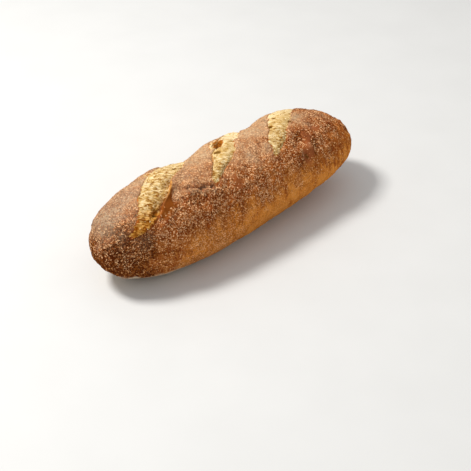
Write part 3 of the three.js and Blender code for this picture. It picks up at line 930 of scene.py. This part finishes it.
# %% Torn crumb
CRUMB = [(0.20, (0.23, 0.084, 0.011)), (0.80, (0.77, 0.615, 0.362)), (0.46, (0.53, 0.330, 0.100))]
TIP_GOLD = (0.91, 0.61, 0.28, 1.0)
FRAY_SIZE, DASH_SIZE = 3.0, 1.2
FRAY_WIDE = 7.0  # mm by which the edge of the crumb frays
TIP_FRAY, SIDE_FRAY = 14.0, 9.0  # how much more at the golden tip, and on the right of a strip
golden_tip, near_hole = attribute(tree, "tip"), attribute(tree, "hole")
fray = centred(tree, speckle(tree, place, FRAY_SIZE, 3.0, 0.65))
fray_wide = blend(tree, (FRAY_WIDE,), (golden_tip, TIP_FRAY), (attribute(tree, "frayed"), SIDE_FRAY))
torn_share = remap(tree, blend(tree, (attribute(tree, "strip"),), (fray, fray_wide)), -0.3, 0.9)
dashes = speckle(tree, torn_grain(tree, place), DASH_SIZE, 2.0, 0.6, 0.6)
contrast = remap(tree, attribute(tree, "smooth"), 0.0, 1.0, 2.3, 1.45)
# Darker in the depths of the crags and round gas holes: partly the crumb's own colour, partly painted shade
crumb_tone = blend(tree, (attribute(tree, "crag"), 0.6), (centred(tree, dashes), contrast), (0.10,),
                   (attribute(tree, "pale"), 0.16), (golden_tip, fray, 1.2), (near_hole, -0.4))
crumb_colour = tint(tree, golden_tip, shades(tree, crumb_tone, CRUMB), TIP_GOLD)
crust_colour = layer(tree, torn_share, crust_colour, crumb_colour)
print("crust finish so far:", len(tree.nodes), "nodes")

# %% Hollows, holes and the floury rim
# Hollows: orange crust inside, and a dark bottom that is painted shade
CAVITY_ORANGE, CAVITY_DARK = (0.36, 0.115, 0.012, 1.0), (0.12, 0.034, 0.005, 1.0)
GOLD_RIM = (0.52, 0.31, 0.11, 1.0)
# Dark colour in gas holes and in the bubble's pit: painted shade
HOLE_DARK = (0.115, 0.054, 0.009, 1.0)
FLOUR = (0.60, 0.47, 0.33, 1.0)
DUSTING_SIZE = 3.5
in_cavity = attribute(tree, "cavity")
hollow = remap(tree, blend(tree, (in_cavity,), (fray, 0.9)), 0.3, 0.7)
bottom = remap(tree, blend(tree, (in_cavity,), (fray, 1.4)), 0.8, 1.15)
dusting = remap(tree, speckle(tree, place, DUSTING_SIZE, 3.0, 0.6), 0.30, 0.52, 0.45, 1.0)
overlays = [  # a share, and the colour that it lays over the others
    (hollow, CAVITY_ORANGE),
    (bottom, CAVITY_DARK),
    (times(tree, attribute(tree, "gold_rim"), 0.8), GOLD_RIM),
    (remap(tree, near_hole, 0.35, 0.95), HOLE_DARK),
    (times(tree, attribute(tree, "flour"), dusting), FLOUR),
]
for share, colour in overlays:
    crust_colour = layer(tree, share, crust_colour, colour)
print("crust finish so far:", len(tree.nodes), "nodes")

# %% Fine grain of the crust
PORE_SIZE = 0.8
BUMP_STRENGTH, BUMP_HEIGHT = 0.6, 0.5  # the height in mm
plug(tree, crust_colour, shader.inputs["Base Color"])
shader.inputs["Specular IOR Level"].default_value = 0.0
pores = speckle(tree, place, PORE_SIZE, 2.0, 0.6)
grain = blend(tree, (sand,), (pores,), (dashes, torn_share, 3.0))
bump = add(tree, "ShaderNodeBump", Height=grain, Strength=BUMP_STRENGTH, Distance=BUMP_HEIGHT * MM)
plug(tree, bump.outputs[0], shader.inputs["Normal"])
print("crust finish:", len(tree.nodes), "nodes")

# %% [markdown]
# ## Rough crust and torn crumb
# Close up, the crust is pebbled and the torn crumb is craggy. A material's bump can fake that, but a fake
# shows at the outline and is missing from the exported mesh, so the relief is real: a Geometry Nodes tree
# moves each vertex along its normal by noise. The masks decide which noise: pebbles on the crust and crags
# in the strips. The tree also keeps the height of the crags, so that the finish can be darker in their
# depths.

# %% Helpers for Geometry Nodes


def mask(tree, name):
    """A vertex mask, read inside Geometry Nodes."""
    return add(tree, "GeometryNodeInputNamedAttribute", {"data_type": "FLOAT"}, Name=name).outputs[0]


def new_tree(name, inputs):
    """A tree with named inputs: the tree, their identifiers and their sockets inside it."""
    tree = bpy.data.node_groups.new(name, "GeometryNodeTree")
    tree.interface.new_socket("Geometry", in_out="OUTPUT", socket_type="NodeSocketGeometry")
    kinds = {"Geometry": "NodeSocketGeometry"} | inputs | {"Finish": "NodeSocketMaterial"}
    sockets = {}
    for label, kind in kinds.items():
        sockets[label] = tree.interface.new_socket(label, in_out="INPUT", socket_type=kind).identifier
    return tree, sockets, tree.nodes.new("NodeGroupInput").outputs


def finish_tree(tree, shape, finish):
    """Ends a tree: instances become real mesh, and the mesh gets its material."""
    real = add(tree, "GeometryNodeRealizeInstances", Geometry=shape)
    finished = add(tree, "GeometryNodeSetMaterial", Geometry=real.outputs[0], Material=finish)
    plug(tree, finished.outputs[0], tree.nodes.new("NodeGroupOutput").inputs[0])


def stored(tree, shape, domain, name, value):
    """The shape with a named number on each point or instance."""
    settings = {"data_type": "FLOAT", "domain": domain}
    node = add(tree, "GeometryNodeStoreNamedAttribute", settings, Geometry=shape, Name=name, Value=value)
    return node.outputs[0]


# %% Relief tree
RELIEF_HEIGHTS = {"Pebble Height": 1.6, "Lump Height": 7.0, "Swell Height": 4.0, "Crag Height": 3.0}
PEBBLE_SIZE, LUMP_SIZE, SWELL_SIZE, THREAD_SIZE, POCKET_SIZE = 2.6, 7.5, 18.0, 2.3, 3.4

relief, relief_sockets, given = new_tree("crust_relief", dict.fromkeys(RELIEF_HEIGHTS, "NodeSocketFloat"))
place = relief.nodes.new("GeometryNodeInputPosition").outputs[0]
torn_here = remap(relief, mask(relief, "strip"), -0.4, 1.6)
pebbles = centred(relief, speckle(relief, place, PEBBLE_SIZE, 3.0, 0.62))
bumps = centred(relief, speckle(relief, place, LUMP_SIZE, 2.0, 0.55, 0.4))
swells = centred(relief, speckle(relief, place, SWELL_SIZE, 1.0))
crust_lift = blend(relief, (pebbles, given["Pebble Height"]),
                   (bumps, given["Lump Height"], mask(relief, "lumps")), (swells, given["Swell Height"]))
crust_lift = times(relief, crust_lift, calc(relief, "SUBTRACT", 1.0, torn_here))
threads = speckle(relief, torn_grain(relief, place), THREAD_SIZE, 2.0, 0.6, 0.5)
pockets = add(relief, "ShaderNodeTexVoronoi", {"feature": "SMOOTH_F1"}, Vector=place,
              Scale=1 / (POCKET_SIZE * MM), Smoothness=0.4).outputs[0]
crag = blend(relief, (centred(relief, threads), 1.7), (centred(relief, pockets), 0.35))
evenly = remap(relief, mask(relief, "smooth"), 0.0, 1.0, 0.7, 0.45)
crumb_lift = times(relief, crag, given["Crag Height"], torn_here, evenly)
lift = times(relief, blend(relief, (crust_lift,), (crumb_lift,)), mask(relief, "rise"))
normal = relief.nodes.new("GeometryNodeInputNormal").outputs[0]
offset = add(relief, "ShaderNodeVectorMath", {"operation": "SCALE"}, Vector=normal, Scale=lift).outputs[0]
# The crag height is kept so that the crumb's colour can darken in its depths, partly as painted shade
cragged = stored(relief, given["Geometry"], "POINT", "crag", blend(relief, (crag,), (0.5,)))
moved = add(relief, "GeometryNodeSetPosition", Geometry=cragged, Offset=offset)
finish_tree(relief, moved.outputs[0], given["Finish"])
print("relief tree:", len(relief.nodes), "nodes")

# %% The crust


def made_by(tree, sockets, values, mesh, name):
    """What a tree makes of a mesh, as a plain mesh object: values are by the names of its inputs."""
    carrier = bpy.data.objects.new("carrier", mesh)
    modifier = carrier.modifiers.new("tree", "NODES")
    modifier.node_group = tree
    for label, value in values.items():
        modifier[sockets[label]] = value
    bpy.context.scene.collection.objects.link(carrier)
    depsgraph = bpy.context.evaluated_depsgraph_get()
    result = bpy.data.meshes.new_from_object(
        carrier.evaluated_get(depsgraph), preserve_all_data_layers=True, depsgraph=depsgraph)
    result.name = name
    bpy.data.objects.remove(carrier)
    piece = bpy.data.objects.new(name, result)
    bpy.context.scene.collection.objects.link(piece)
    return piece


relief_values = {label: height * MM for label, height in RELIEF_HEIGHTS.items()}
crust = made_by(relief, relief_sockets, relief_values | {"Finish": crust_finish}, skin_mesh, "crust")
crust.data.shade_smooth()
print("crust:", len(crust.data.vertices), "vertices, finish", crust.data.materials[0].name)

# %% [markdown]
# ## Bran flakes
# Before baking, the dough was rolled in bran, so thousands of flat bits a millimetre or two long stick to
# the crust: broad chips, bent slivers and straight strips of husk. Placing them by hand is out of the
# question, and a texture of dots would look painted. So a few irregular shapes are made here, each with as
# few faces as its form needs, and Geometry Nodes will lay them on the crust.

# %% Bran shapes
# Sizes of a bit that is 1 long, where a pair is the least and the most
CHIP_CORNERS, CORNER_SHIFT = 5, 0.25
CHIP_REACH, CHIP_CURL, CHIP_NARROW = (0.32, 0.55), (-0.06, 0.1), 0.5
CHIP_TOP, CHIP_BOTTOM = (0.0, 0.0, 0.16), (0.0, 0.0, -0.14)
THICKNESS = (0.10, 0.16)
SLIVER_HALF, SLIVER_MIDDLE, SLIVER_BEND, SLIVER_END = (0.12, 0.17), (-0.12, 0.12), (0.04, 0.16), 0.46
HUSK_HALF, HUSK_SHIFT, HUSK_END = (0.13, 0.22), (-0.08, 0.08), 0.44


def chip(random):
    """A flat irregular chip, 1 long, with a raised middle: a ring of corners between two points."""
    shift = random.uniform(-CORNER_SHIFT, CORNER_SHIFT, CHIP_CORNERS)
    around = 2 * np.pi * (np.arange(CHIP_CORNERS) + shift) / CHIP_CORNERS
    reach = random.uniform(*CHIP_REACH, CHIP_CORNERS)
    lift = random.uniform(*CHIP_CURL, CHIP_CORNERS)
    corners = np.stack([reach * np.cos(around), CHIP_NARROW * reach * np.sin(around), lift], 1)
    top, bottom = CHIP_CORNERS, CHIP_CORNERS + 1
    faces = []
    for k in range(CHIP_CORNERS):
        following = (k + 1) % CHIP_CORNERS
        faces += [(k, following, top), (following, k, bottom)]
    return [*corners, CHIP_TOP, CHIP_BOTTOM], faces


def sliver(random):
    """A bent sliver, 1 long and of even width, with a ridge at its middle."""
    half, thick = random.uniform(*SLIVER_HALF), random.uniform(*THICKNESS)
    along, bend = random.uniform(*SLIVER_MIDDLE), random.uniform(*SLIVER_BEND)
    right = [(-0.5, -half), (along, bend - half), (0.5, -half)]
    left = [(SLIVER_END, half), (along, bend + half), (-SLIVER_END, half)]
    points = [(u, v, 0.0) for u, v in right + left] + [(along, bend, thick)]
    faces = [(k, (k + 1) % 6, 6) for k in range(6)]
    return points, faces + [(5, 1, 0), (5, 4, 1), (4, 2, 1), (4, 3, 2)]


def husk(random):
    """A straight strip of husk, 1 long, with a ridge point: the cheapest shape, for most of the coat."""
    near, far = random.uniform(*HUSK_HALF, 2)
    shift, thick = random.uniform(*HUSK_SHIFT), random.uniform(*THICKNESS)
    ring = [(-0.5, -near), (0.5, shift - far), (HUSK_END, shift + far), (-HUSK_END, near)]
    points = [(u, v, 0.0) for u, v in ring] + [(0.0, shift / 2, thick)]
    faces = [(0, 1, 4), (1, 2, 4), (2, 3, 4), (3, 0, 4), (0, 3, 2), (0, 2, 1)]
    return points, faces


SHAPES = [(chip, 3), (sliver, 21), (husk, 34), (husk, 55), (husk, 89)]  # a kind of bit, and its seed
bran_shapes = bpy.data.collections.new("bran_chips")
for kind, seed in SHAPES:
    points, faces = kind(np.random.default_rng(seed))
    shape = bpy.data.meshes.new(f"{kind.__name__}_{seed}")
    shape.from_pydata([tuple(float(v) for v in point) for point in points], [], faces)
    bran_shapes.objects.link(bpy.data.objects.new(shape.name, shape))
    print("bran shape", shape.name, len(shape.polygons), "faces")

# %% [markdown]
# ## Scattering the bran
# Bran sticks in drifts: thick here, thin there, and never in a pattern. A particle system would do, but
# the export drops particles. Geometry Nodes spreads points over the crust, as dense as a mask and three
# sizes of noise say, lays one of the shapes on each with its own size and turn, and makes them real mesh
# at the end. Each bit also keeps a random number, from which its finish takes its shade.

# %% Scatter tree
DRIFTS = [  # size of the noise in mm, its detail, where it goes from thin to thick, and how thin
    (7.0, 2.0, 0.38, 0.60, 0.45),
    (2.4, 1.0, 0.40, 0.58, 0.35),
    (18.0, 1.0, 0.40, 0.62, 0.60),
]
SCATTER_INPUTS = dict.fromkeys(("Density", "Smallest", "Largest", "Tilt"), "NodeSocketFloat")
SCATTER_INPUTS |= {"Seed": "NodeSocketInt", "Mask": "NodeSocketString"}
SIZE_SEED, LIE_SEED, KIND_SEED, SHADE_SEED = 1, 2, 3, 4


def drawn(tree, kind, low, high, seed):
    """A random value for each point."""
    node = add(tree, "FunctionNodeRandomValue", {"data_type": kind}, Min=low, Max=high, Seed=seed)
    return socket(node.outputs, "Value")


def random_turn(tree, tilt):
    """Any turn about the way out of the crust, and a lean of up to that tilt."""
    back = calc(tree, "MULTIPLY", tilt, -1.0)
    low = add(tree, "ShaderNodeCombineXYZ", X=back, Y=back, Z=0.0).outputs[0]
    high = add(tree, "ShaderNodeCombineXYZ", X=tilt, Y=tilt, Z=2 * np.pi).outputs[0]
    lie = drawn(tree, "FLOAT_VECTOR", low, high, LIE_SEED)
    return add(tree, "FunctionNodeEulerToRotation", Euler=lie).outputs[0]


def scatter_tree(name, shapes):
    """A tree that scatters shapes over a mesh, as dense as the mask that it is given, and realizes them."""
    tree, sockets, given = new_tree(name, SCATTER_INPUTS)
    place = tree.nodes.new("GeometryNodeInputPosition").outputs[0]
    drifts = [remap(tree, speckle(tree, place, size, detail), low, high, thin, 1.0)
              for size, detail, low, high, thin in DRIFTS]
    density = times(tree, mask(tree, given["Mask"]), times(tree, *drifts), given["Density"])
    spread = add(tree, "GeometryNodeDistributePointsOnFaces", Mesh=given["Geometry"], Density=density,
                 Seed=given["Seed"])
    turned = add(tree, "FunctionNodeRotateRotation", {"rotation_space": "LOCAL"},
                 Rotation=spread.outputs["Rotation"], Rotate_By=random_turn(tree, given["Tilt"]))
    kinds = add(tree, "GeometryNodeCollectionInfo", Collection=shapes, Separate_Children=True,
                Reset_Children=True)
    pick = drawn(tree, "INT", 0, len(shapes.objects) - 1, KIND_SEED)
    size = drawn(tree, "FLOAT", given["Smallest"], given["Largest"], SIZE_SEED)
    laid = add(tree, "GeometryNodeInstanceOnPoints", Points=spread.outputs["Points"],
               Instance=kinds.outputs[0], Pick_Instance=True, Instance_Index=pick,
               Rotation=turned.outputs[0], Scale=size)
    shade = drawn(tree, "FLOAT", 0.0, 1.0, SHADE_SEED)
    finish_tree(tree, stored(tree, laid.outputs[0], "INSTANCE", "shade", shade), given["Finish"])
    return tree, sockets


bran_tree, bran_sockets = scatter_tree("bran_coat", bran_shapes)
print("scatter tree:", len(bran_tree.nodes), "nodes, inputs", list(bran_sockets))

# %% [markdown]
# ## The finish of the bran
# A flake is the skin of a wheat grain: cream inside, tan outside, and toasted at its edges. One colour for
# all would look like paint, so a ramp turns the random number of each flake into its own shade. The shade
# also follows the browning under the flake, and the golden zone, the flour dust with its painted sheen,
# and the painted shade near the -X end tint it like the crust around it.

# %% Bran materials
BRAN = [(0.0, (0.84, 0.50, 0.26)), (1.0, (0.060, 0.012, 0.002)), (0.25, (0.58, 0.262, 0.098)),
        (0.55, (0.34, 0.100, 0.022)), (0.8, (0.17, 0.038, 0.006))]
GOLDEN_BRAN = [(0.0, (0.74, 0.335, 0.09)), (1.0, (0.14, 0.034, 0.005)), (0.5, (0.54, 0.190, 0.032))]
PLAIN_SPREAD, SPECKLED_SPREAD = 0.8, 1.3  # how far shades spread off and on the speckled zone
FLAKE_GRAIN, FLAKE_GRAIN_SHARE = 0.8, 0.4
FLAKE_ROUGHNESS = 0.7


def bran_material(name, stops, follows, lighter, spread, dust_and_sheen_weight=0.4):
    """Flakes that follow the browning under them, lighter or darker by chance, with dust and painted sheen.
    """
    material, tree, shader, place = new_material(name, FLAKE_ROUGHNESS)
    narrow, wide = PLAIN_SPREAD * spread, SPECKLED_SPREAD * spread
    reach = remap(tree, attribute(tree, "speckled"), 0.0, 1.0, narrow, wide)
    grain = centred(tree, speckle(tree, place, FLAKE_GRAIN))
    tone = blend(tree, (attribute(tree, "bake"), follows), (centred(tree, attribute(tree, "shade")), reach),
                 (grain, FLAKE_GRAIN_SHARE), (-lighter,))
    colour = shades(tree, tone, stops)
    colour = layer(tree, attribute(tree, "amber"), colour, shades(tree, tone, GOLDEN_BRAN))
    colour = layer(tree, times(tree, attribute(tree, "dust"), dust_and_sheen_weight), colour, DUST_AND_SHEEN)
    colour = tint(tree, attribute(tree, "dull"), colour, NEAR_CROWN_SHADE)
    plug(tree, colour, shader.inputs["Base Color"])
    shader.inputs["Specular IOR Level"].default_value = 0.0
    print("finish:", name)
    return material


# In turn: its shades, how far it follows the browning, how much lighter it is, and its spread of shades
pale_bran = bran_material("pale_bran", BRAN, 0.8, 0.24, 1.4)
toasted_bran = bran_material("toasted_bran", BRAN, 0.6, -0.28, 0.5)
fine_bran = bran_material("fine_bran", BRAN, 0.75, 0.0, 1.2)
grit_bran = bran_material("grit_bran", GOLDEN_BRAN, 0.7, 0.1, 0.9, dust_and_sheen_weight=0.8)
crumb_bits = bran_material("crumb_bits", CRUMB, 0.0, -0.58, 0.6)

# %% [markdown]
# ## The coats
# The bran on the loaf isn't one layer: pale flakes and toasted ones lie side by side, finer bits fill the
# gaps, small grits lean up between them, and a few crumbs lie loose in the torn strips. Each is a piece of
# its own from the same tree, with its own size, density, seed and finish.

# %% Scatter the bran
PER_SQUARE_MM = 1 / MM**2
COATS = {  # flakes for each square mm, shortest, longest, tilt, seed, mask and finish
    "bran_flakes": (1.7, 1.1, 2.6, 0.22, 5, "coat", pale_bran),
    "toasted_flakes": (1.4, 1.1, 2.6, 0.22, 6, "coat", toasted_bran),
    "fine_flakes": (1.6, 0.7, 1.5, 0.3, 7, "coat", fine_bran),
    "grits": (0.25, 0.5, 1.2, 0.6, 9, "grit", grit_bran),
    "crumb_flakes": (0.35, 0.8, 2.4, 0.6, 12, "crumb", crumb_bits),
}
coats = []
for name, (density, shortest, longest, lean, seed, where, finish) in COATS.items():
    values = {"Density": density * PER_SQUARE_MM, "Smallest": shortest * MM, "Largest": longest * MM}
    values |= {"Tilt": lean, "Seed": seed, "Mask": where, "Finish": finish}
    coats.append(made_by(bran_tree, bran_sockets, values, crust.data, name))
    print(name, len(coats[-1].data.polygons), "triangles")
for shape in list(bran_shapes.objects):
    bpy.data.objects.remove(shape)
bpy.data.collections.remove(bran_shapes)

# %% [markdown]
# ## Floor
# A plain pale floor keeps the eye on the loaf and bounces soft light up into its shaded side. A bare
# colour would look flat, so very broad noise makes it a little uneven. It is only staging and isn't part
# of the loaf.

# %% Floor
FLOOR_SIDE = 12.0  # metres
FLOOR_DARK, FLOOR_LIGHT = (0.60, 0.60, 0.59, 1.0), (0.64, 0.64, 0.63, 1.0)
FLOOR_CLOUDS, FLOOR_ROUGHNESS = 60.0, 0.6
half_floor = FLOOR_SIDE / 2
corners = [(u * half_floor, v * half_floor, 0) for u, v in ((-1, -1), (1, -1), (1, 1), (-1, 1))]
floor_mesh = bpy.data.meshes.new("floor")
floor_mesh.from_pydata(corners, [], [(0, 1, 2, 3)])
floor = bpy.data.objects.new("floor", floor_mesh)
bpy.context.scene.collection.objects.link(floor)
floor_finish, tree, shader, place = new_material("pale_floor", FLOOR_ROUGHNESS)
floor_colour = layer(tree, speckle(tree, place, FLOOR_CLOUDS), FLOOR_DARK, FLOOR_LIGHT)
plug(tree, floor_colour, shader.inputs["Base Color"])
floor_mesh.materials.append(floor_finish)
print("floor:", FLOOR_SIDE, "m square")

# %% [markdown]
# ## Light
# A soft window stands high behind the left end of the loaf, so the backs of the slashes shine and the near
# side lies in a soft shade. A white sky fills that shade. A lamp from the front would be simpler, but it
# would flatten the relief that makes the crust.

# %% Light
WINDOW = dict(azimuth=125, elevation=58, distance=1.6, side=0.4, power=27.0, colour=(1.0, 0.98, 0.95))
SKY_COLOUR, SKY_STRENGTH = (1.0, 1.0, 1.0, 1.0), 0.66


def direction(azimuth, elevation):
    """The unit vector towards that azimuth, from +X towards +Y, and elevation, in degrees."""
    a, e = np.radians(azimuth), np.radians(elevation)
    return Vector((np.cos(e) * np.cos(a), np.cos(e) * np.sin(a), np.sin(e)))


def soft_light(name, azimuth, elevation, distance, side, power, colour):
    """A square area light that faces the loaf."""
    data = bpy.data.lights.new(name, "AREA")
    data.size, data.energy, data.color = side, power, colour
    light = bpy.data.objects.new(name, data)
    bpy.context.scene.collection.objects.link(light)
    towards = direction(azimuth, elevation)
    light.location = towards * distance
    light.rotation_euler = towards.to_track_quat("Z", "Y").to_euler()
    return light


window = soft_light("window", **WINDOW)
world = bpy.data.worlds.new("studio")
bpy.context.scene.world = world
world.use_nodes = True
background = next(node for node in world.node_tree.nodes if node.type == "BACKGROUND")
background.inputs["Color"].default_value = SKY_COLOUR
background.inputs["Strength"].default_value = SKY_STRENGTH
bpy.context.scene.view_settings.view_transform = "Standard"
print("window at", [round(v, 2) for v in window.location], "m")

# %% [markdown]
# ## Camera
# The camera looks down at about a third of a right angle, past the near end and along the loaf. A wide
# lens close by would swell the near end, so a long lens stands well away and the loaf keeps its shape.

# %% Camera
IMAGE_SIDE, FOCAL_PIXELS, SENSOR = 471, 1060.0, 36.0
CAMERA_PLACE = (-0.58198, -0.56577, 0.52065)  # metres
CAMERA_DOWN, CAMERA_RIGHT = 33.43, 46.258  # degrees below the horizon, and from +Y towards +X
camera_data = bpy.data.cameras.new("camera")
camera_data.sensor_width = SENSOR
camera_data.lens = SENSOR * FOCAL_PIXELS / IMAGE_SIDE
camera = bpy.data.objects.new("camera", camera_data)
bpy.context.scene.collection.objects.link(camera)
camera.location = CAMERA_PLACE
camera.rotation_euler = (np.radians(90 - CAMERA_DOWN), 0.0, np.radians(-CAMERA_RIGHT))
bpy.context.scene.camera = camera
print("lens:", round(camera_data.lens, 1), "mm")

# %% [markdown]
# ## Hand over
# The loaf is one body, so every piece rides on the root. The fine skin takes the place of the solid loaf,
# and the coats lie on it as pieces of their own.

# %% Hand over
for piece in (crust, *coats):
    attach(piece, "root")
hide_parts("loaf")
